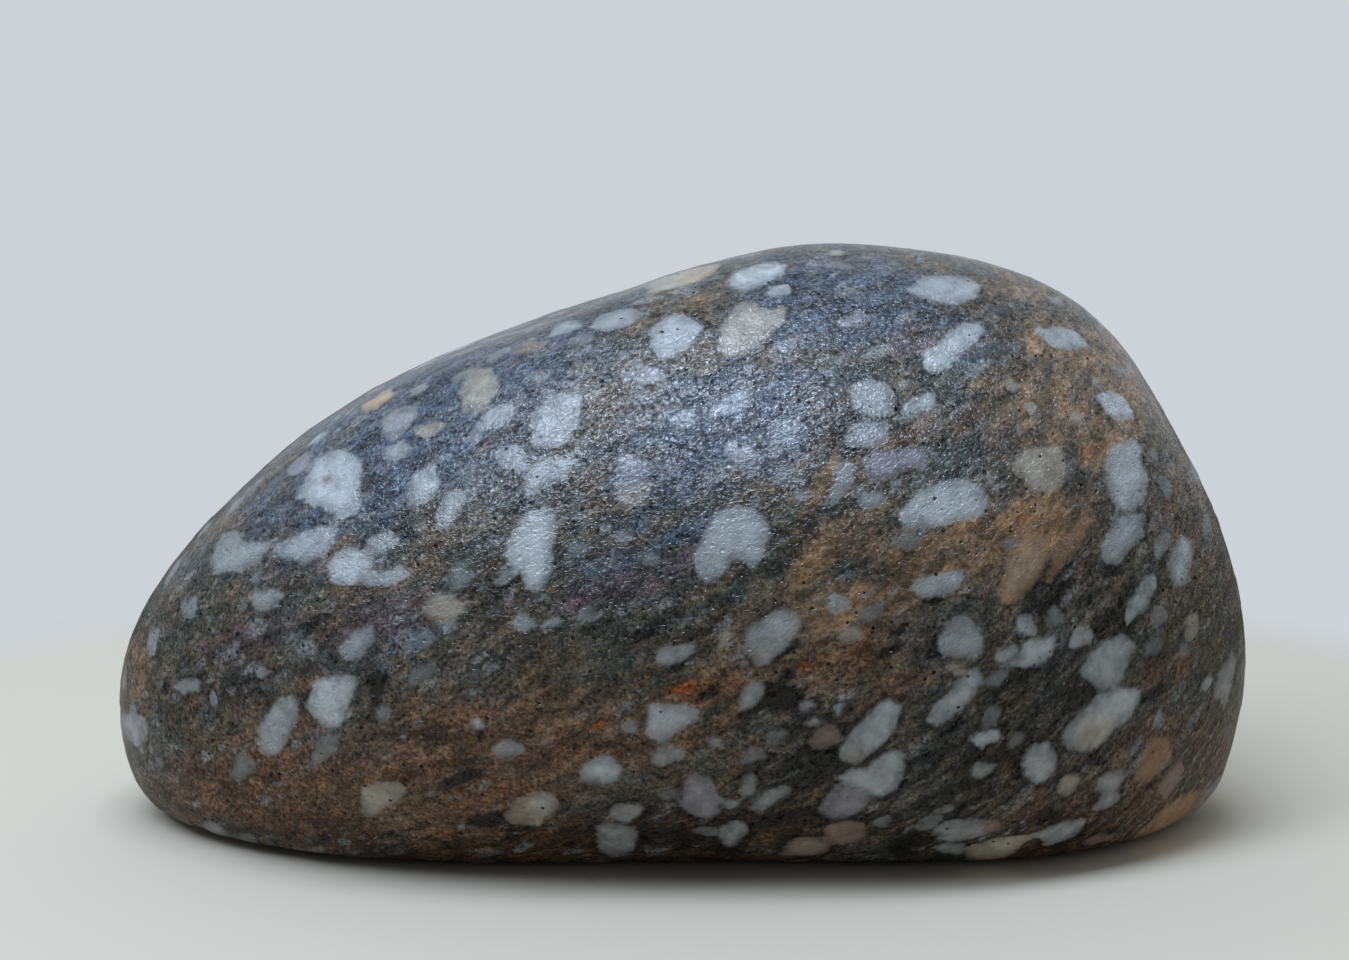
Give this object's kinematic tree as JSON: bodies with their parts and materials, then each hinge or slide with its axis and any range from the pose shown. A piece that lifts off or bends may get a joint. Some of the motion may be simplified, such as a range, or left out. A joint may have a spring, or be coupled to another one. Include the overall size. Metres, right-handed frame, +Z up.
{
  "type": "viewing stone",
  "caption": "River-worn cobble of quartz conglomerate, a long slope rising to a high blunt shoulder, shown on its own flat foot.",
  "frame": {"origin": "middle of the stone's box, at the level of its flat foot", "axes": "+X along the stone from its low nose to its high shoulder, -Y out of its show face, +Z up"},
  "size_m": [0.1798, 0.1002, 0.0911],
  "materials": {
    "quartz_conglomerate": "river-polished and oiled: glossy dark matrix with milky quartz pebbles"
  },
  "bodies": {
    "root": {"stone": "quartz_conglomerate"}
  },
  "joints": []
}
